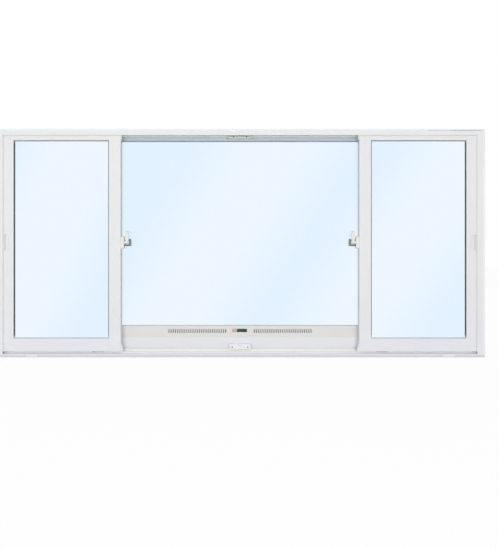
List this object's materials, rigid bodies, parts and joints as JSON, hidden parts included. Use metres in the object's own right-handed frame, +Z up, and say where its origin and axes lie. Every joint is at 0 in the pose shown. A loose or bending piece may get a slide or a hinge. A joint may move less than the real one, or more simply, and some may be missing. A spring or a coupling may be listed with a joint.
{
  "type": "aluminium sliding window",
  "caption": "White aluminium window with a fixed, ventilated centre light between sliding side sashes held by crescent latches.",
  "frame": {"origin": "middle of the sill's underside, halfway through the frame's depth", "axes": "+X along the width to the right seen from inside, +Y towards outside, +Z up"},
  "size_m": [2.7, 0.132, 1.26],
  "materials": {
    "frame_white": "white powder coat, satin",
    "sash_white": "white powder coat, satin",
    "vent_white": "warm white powder coat, satin",
    "rail_metal": "anodised running strip",
    "pane_glass": "clear float glass, faint blue",
    "gasket_grey": "grey glazing gasket",
    "seal_grey": "grey seal strip",
    "moulded_white": "moulded white plastic",
    "latch_white": "white stove enamel",
    "latch_metal": "dark zinc-plated steel",
    "wheel_dark": "dark nylon wheel"
  },
  "bodies": {
    "root": {"head_frame": "frame_white", "sill_frame": "frame_white", "left_jamb": "frame_white", "right_jamb": "frame_white", "rail_cap": "rail_metal", "head_seal_strip": "seal_grey", "drain_covers": "moulded_white", "bottom_stop": "moulded_white", "top_stop": "moulded_white", "centre_left_stile": "sash_white", "centre_right_stile": "sash_white", "centre_top_rail": "sash_white", "centre_bottom_rail": "sash_white", "centre_glass": "pane_glass", "centre_gaskets": "gasket_grey", "vent_body": "vent_white", "vent_grille": "vent_white", "vent_end_caps": "vent_white", "left_lock_stile": "sash_white", "left_meeting_stile": "sash_white", "left_top_rail": "sash_white", "left_bottom_rail": "sash_white", "left_glass": "pane_glass", "left_gaskets": "gasket_grey", "left_finger_pull": "moulded_white", "left_roller_carriages": "latch_metal", "left_roller_wheels": "wheel_dark", "left_bumpers": "moulded_white", "left_latch_base": "latch_white", "left_latch_lever": "latch_white", "left_latch_cam": "latch_metal", "left_latch_keeper": "latch_metal", "right_lock_stile": "sash_white", "right_meeting_stile": "sash_white", "right_top_rail": "sash_white", "right_bottom_rail": "sash_white", "right_glass": "pane_glass", "right_gaskets": "gasket_grey", "right_finger_pull": "moulded_white", "right_roller_carriages": "latch_metal", "right_roller_wheels": "wheel_dark", "right_bumpers": "moulded_white", "right_latch_base": "latch_white", "right_latch_lever": "latch_white", "right_latch_cam": "latch_metal", "right_latch_keeper": "latch_metal"}
  },
  "joints": []
}
